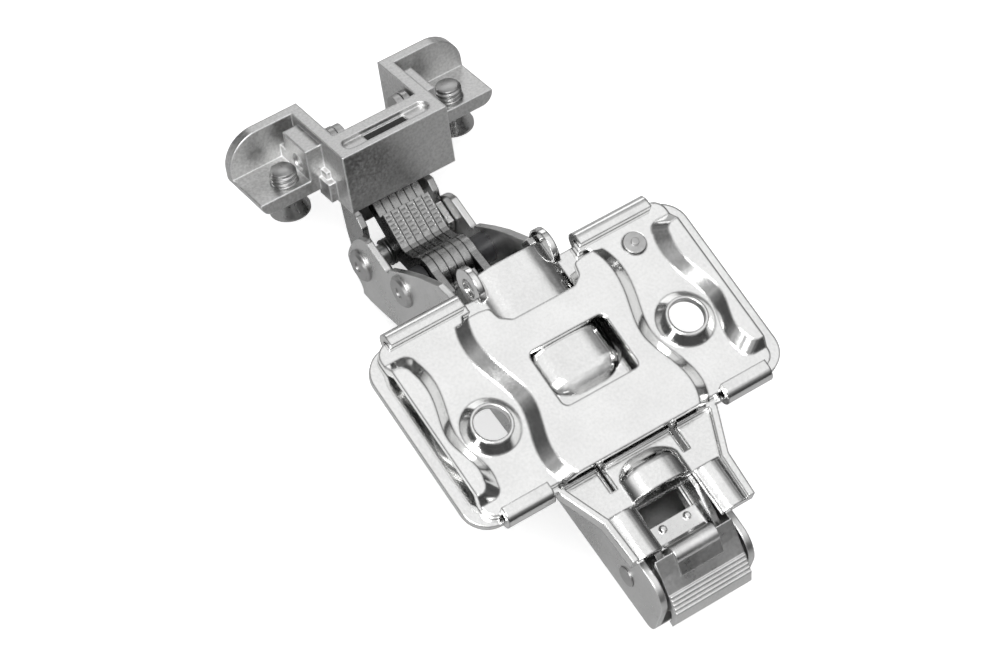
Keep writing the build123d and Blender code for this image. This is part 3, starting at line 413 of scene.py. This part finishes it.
def boss_block(low, high, half_width, top, bottom, corner):
    # Set in the boss's own frame: x runs across the bar, z out of its top.
    bpy.ops.object.select_all(action="DESELECT")
    bpy.ops.mesh.primitive_cube_add(
        size=1, location=((low + high) / 2, 0, (top + bottom) / 2),
        scale=(high - low, 2 * half_width, top - bottom),
    )
    block = bpy.context.active_object
    settle()
    bpy.ops.object.mode_set(mode="EDIT")
    bpy.ops.mesh.select_mode(type="EDGE")
    bpy.ops.mesh.select_all(action="DESELECT")
    shape = bmesh.from_edit_mesh(block.data)
    for edge in shape.edges:
        edge.select_set(abs(edge.verts[0].co.z - edge.verts[1].co.z) > (top - bottom) / 2)
    bmesh.update_edit_mesh(block.data)
    bpy.ops.mesh.bevel(offset=corner, segments=6)
    bpy.ops.object.mode_set(mode="OBJECT")
    block.matrix_world = boss_stand
    settle()
    return block


def cut_away(piece, tool):
    take_up(piece)
    cut = piece.modifiers.new("cut_away", "BOOLEAN")
    cut.operation = "DIFFERENCE"
    cut.solver = "EXACT"
    cut.object = tool
    bpy.ops.object.modifier_apply(modifier="cut_away")
    bpy.data.objects.remove(tool)


cut_away(casting, boss_block(slot_low, slot_high, slot_half, tool_top, -slot_depth, slot_corner))
# The dark floor block under the slot's middle is painted shade.
pocket = boss_block(
    pocket_low, pocket_high, pocket_half, -pocket_depth, -pocket_floor, pocket_corner,
)
pocket.data.materials.append(cast_shade)
take_up(casting, pocket)
bpy.ops.object.join()
bpy.ops.object.shade_smooth_by_angle(angle=math.radians(25))
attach(casting, "boss")
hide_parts("frame_boss")

# Clamp screws: steel, with a cone that pulls on the frame and a rolled thread that shows above the
# shelf. Each is a plain core with a wound ridge, a cone head and a cross recess, made once and set
# in twice.
screw_apart, screw_along, screw_turn = 0.0140, 0.0088, 0.4
screw_place = boss_place + screw_along * Vector((math.cos(door_lean), 0, -math.sin(door_lean)))
tip_z, shelf_z, neck_z, head_rim_z, head_low_z = -0.0042, -0.0066, -0.0088, -0.0109, -0.0114
thread_r, core_r, head_r = 0.0020, 0.00172, 0.0030
thread_pitch, thread_turns = 0.00066, 3
ridge_r, ridge_proud, ridge_start = 0.00026, 0.00002, 0.00012
chamfer_drop, chamfer_taper = -0.0004, 0.8
head_inset, head_crown = 0.0006, -0.00012
tip_inset, tip_crown = 0.00028, 0.00012
recess_length, recess_width, recess_depth, recess_drop = 0.0032, 0.0008, 0.0028, 0.0001
bpy.ops.object.select_all(action="DESELECT")
bpy.ops.mesh.primitive_cylinder_add(
    vertices=40, radius=core_r, depth=tip_z - shelf_z, location=(0, 0, (tip_z + shelf_z) / 2),
)
screw = bpy.context.active_object
screw.name = "threaded_screw"
settle()
bpy.ops.object.mode_set(mode="EDIT")


def pick_faces(piece, wanted):
    bpy.ops.mesh.select_mode(type="FACE")
    bpy.ops.mesh.select_all(action="DESELECT")
    shape = bmesh.from_edit_mesh(piece.data)
    for face in shape.faces:
        face.select_set(wanted(face))
    bmesh.update_edit_mesh(piece.data)


pick_faces(screw, lambda face: face.normal.z < -0.9)
for level, widen in ((0.0, thread_r / core_r), (neck_z - shelf_z, 1.0),
                     (head_rim_z - neck_z, head_r / thread_r),
                     (head_low_z - head_rim_z, 1.0), (chamfer_drop, chamfer_taper)):
    bpy.ops.mesh.extrude_region_move(TRANSFORM_OT_translate={"value": (0, 0, level)})
    bpy.ops.transform.resize(value=(widen, widen, 1.0))
bpy.ops.mesh.inset(thickness=head_inset)
bpy.ops.transform.translate(value=(0, 0, head_crown))
pick_faces(screw, lambda face: face.normal.z > 0.9 and face.calc_center_median().z > shelf_z)
bpy.ops.mesh.inset(thickness=tip_inset)
bpy.ops.transform.translate(value=(0, 0, tip_crown))
bpy.ops.object.mode_set(mode="OBJECT")
bpy.ops.object.select_all(action="DESELECT")
bpy.ops.mesh.primitive_circle_add(
    vertices=6, radius=ridge_r, fill_type="NGON",
    location=(core_r + ridge_proud, 0, shelf_z + ridge_start), rotation=(math.pi / 2, 0, 0),
)
ridge = bpy.context.active_object
settle()
wind(ridge, thread_turns, thread_pitch, steps=40, cap_sides=8)
recess_arms = []
for quarter in (0, 1):
    bpy.ops.object.select_all(action="DESELECT")
    bpy.ops.mesh.primitive_cube_add(
        size=1, location=(0, 0, head_low_z - recess_drop),
        scale=(recess_length, recess_width, recess_depth), rotation=(0, 0, quarter * math.pi / 2),
    )
    recess_arms.append(bpy.context.active_object)
    settle()
for recess_arm in recess_arms:
    cut_away(screw, recess_arm)
take_up(screw, ridge)
bpy.ops.object.join()
bpy.ops.object.shade_smooth_by_angle(angle=math.radians(35))
screw_steel = plated_metal(
    "screw_steel", colour=0.42, roughness=0.30, peel_scale=900.0, grain_share=0.35,
    bump_depth=0.000002, edge_radius=0.0001, edge_gain=1.3,
)
screw.data.materials.append(screw_steel)
for hand, node in ((1, "clamp_screw_left"), (-1, "clamp_screw_right")):
    copy = bpy.data.objects.new("threaded_" + node, screw.data.copy())
    bpy.context.collection.objects.link(copy)
    stand = Matrix.Translation(screw_place + Vector((0, hand * screw_apart, 0)))
    turn = Matrix.Rotation(hand * screw_turn, 4, "Z")
    copy.matrix_world = stand @ Matrix.Rotation(door_lean, 4, "Y") @ turn
    take_up(copy)
    settle()
    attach(copy, "boss")
    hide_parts(node)
bpy.data.objects.remove(screw)

# Floor: a pale seamless sheet under the hinge, lit white like the photograph's ground.
# The metal mirrors it dimmer, as a small sheet in a dark room, and it is seen through from below,
# so that low views still show the arm.
floor_z, floor_size, floor_glow, floor_mirrored = -0.0405, 4.0, 0.45, 0.42
bpy.ops.object.select_all(action="DESELECT")
bpy.ops.mesh.primitive_plane_add(size=floor_size, location=(0, 0, floor_z))
floor = bpy.context.active_object
floor.name = "floor"
settle()
paper = bpy.data.materials.new("white_paper")
paper.use_nodes = True
tree = paper.node_tree
paper_side = tree.nodes.new("ShaderNodeNewGeometry")
unseen = tree.nodes.new("ShaderNodeBsdfTransparent")
either = tree.nodes.new("ShaderNodeMixShader")
paper_shader = tree.nodes["Principled BSDF"]
paper_shader.inputs["Base Color"].default_value = (0.93, 0.93, 0.93, 1)
paper_shader.inputs["Roughness"].default_value = 0.8
paper_shader.inputs["Emission Color"].default_value = (1, 1, 1, 1)
paper_shader.inputs["Emission Strength"].default_value = floor_glow
ray = tree.nodes.new("ShaderNodeLightPath")
shaded = tree.nodes.new("ShaderNodeBsdfDiffuse")
shaded.inputs["Color"].default_value = (floor_mirrored, floor_mirrored, floor_mirrored, 1)
mirrored = tree.nodes.new("ShaderNodeMixShader")
tree.links.new(ray.outputs["Is Glossy Ray"], mirrored.inputs["Fac"])
tree.links.new(paper_shader.outputs["BSDF"], mirrored.inputs[1])
tree.links.new(shaded.outputs["BSDF"], mirrored.inputs[2])
tree.links.new(paper_side.outputs["Backfacing"], either.inputs["Fac"])
tree.links.new(mirrored.outputs["Shader"], either.inputs[1])
tree.links.new(unseen.outputs["BSDF"], either.inputs[2])
tree.links.new(either.outputs["Shader"], tree.nodes["Material Output"].inputs["Surface"])
floor.data.materials.append(paper)

# Studio light: a room that is white overhead and dark at the horizon, so that flat faces shine and
# turned ones darken. Seen directly it is a pale backdrop. Three soft boxes draw the bright lines
# along the folds.
room_heights = ((0.50, 0.05), (0.70, 0.08), (0.80, 0.22), (0.87, 0.66), (0.92, 0.96))
underfoot, zenith = (0.30, 0.45), (0.96, 1.0)
drape_depth = 0.30
backdrop_grey = 0.93
world = bpy.data.worlds.new("studio")
bpy.context.scene.world = world
world.use_nodes = True
tree = world.node_tree
room = tree.nodes["Background"]
around = tree.nodes.new("ShaderNodeTexCoord")
split = tree.nodes.new("ShaderNodeSeparateXYZ")
lift = reckon(tree, "MULTIPLY_ADD", 0.5, 0.5)
ramp = tree.nodes.new("ShaderNodeValToRGB")
for stop, (height, grey) in zip(ramp.color_ramp.elements, (underfoot, zenith)):
    stop.position = height
    stop.color = (grey, grey, grey, 1)
for height, grey in room_heights:
    stop = ramp.color_ramp.elements.new(height)
    stop.color = (grey, grey, grey, 1)
drapes = noise(tree, detail=2.0, scale=2.6)
uneven = reckon(tree, "MULTIPLY_ADD", drape_depth)
sink = reckon(tree, "SUBTRACT", drape_depth / 2)
tree.links.new(around.outputs["Generated"], split.inputs["Vector"])
tree.links.new(split.outputs["Z"], lift.inputs[0])
tree.links.new(around.outputs["Generated"], drapes.inputs["Vector"])
tree.links.new(drapes.outputs["Fac"], uneven.inputs[0])
tree.links.new(lift.outputs["Value"], uneven.inputs[2])
tree.links.new(uneven.outputs["Value"], sink.inputs[0])
tree.links.new(sink.outputs["Value"], ramp.inputs["Fac"])
tree.links.new(ramp.outputs["Color"], room.inputs["Color"])
room.inputs["Strength"].default_value = 1.0
backdrop = tree.nodes.new("ShaderNodeBackground")
backdrop.inputs["Color"].default_value = (backdrop_grey, backdrop_grey, backdrop_grey, 1)
seen_or_mirrored = tree.nodes.new("ShaderNodeMixShader")
ray = tree.nodes.new("ShaderNodeLightPath")
tree.links.new(ray.outputs["Is Camera Ray"], seen_or_mirrored.inputs["Fac"])
tree.links.new(room.outputs["Background"], seen_or_mirrored.inputs[1])
tree.links.new(backdrop.outputs["Background"], seen_or_mirrored.inputs[2])
tree.links.new(seen_or_mirrored.outputs["Shader"], tree.nodes["World Output"].inputs["Surface"])


def soft_box(name, place, aim, width, height, power):
    light = bpy.data.lights.new(name, "AREA")
    light.shape = "RECTANGLE"
    light.size = width
    light.size_y = height
    light.energy = power
    lamp = bpy.data.objects.new(name, light)
    bpy.context.collection.objects.link(lamp)
    lamp.location = place
    lamp.rotation_euler = (Vector(aim) - Vector(place)).to_track_quat("-Z", "Y").to_euler()


soft_box("overhead", (-0.10, 0.30, 0.90), (0, 0, 0), width=0.5, height=0.5, power=6.0)
soft_box("side", (-0.15, 0.60, 0.35), (0, 0, -0.01), width=0.10, height=0.5, power=1.2)
soft_box("front", (0.75, -0.30, 0.22), (0.04, 0, -0.02), width=0.45, height=0.35, power=0.62)

# Camera: at the photograph's own place, with its lens, and with the plain display curve of a
# product shot, so that the ground comes out white.
bpy.context.scene.view_settings.view_transform = "Standard"
lens = bpy.data.cameras.new("photo_camera")
lens.lens = 127.4
lens.sensor_width = 36.0
camera = bpy.data.objects.new("photo_camera", lens)
bpy.context.collection.objects.link(camera)
right = Vector((-0.549, -0.822, 0.148))
up = Vector((0.784, -0.446, 0.432))
back = Vector((-0.290, 0.353, 0.890))
camera_place = Matrix.Translation((-0.12638, 0.17456, 0.42041))
facing = Matrix((right.normalized(), up.normalized(), back.normalized())).transposed().to_4x4()
camera.matrix_world = camera_place @ facing
bpy.context.scene.camera = camera
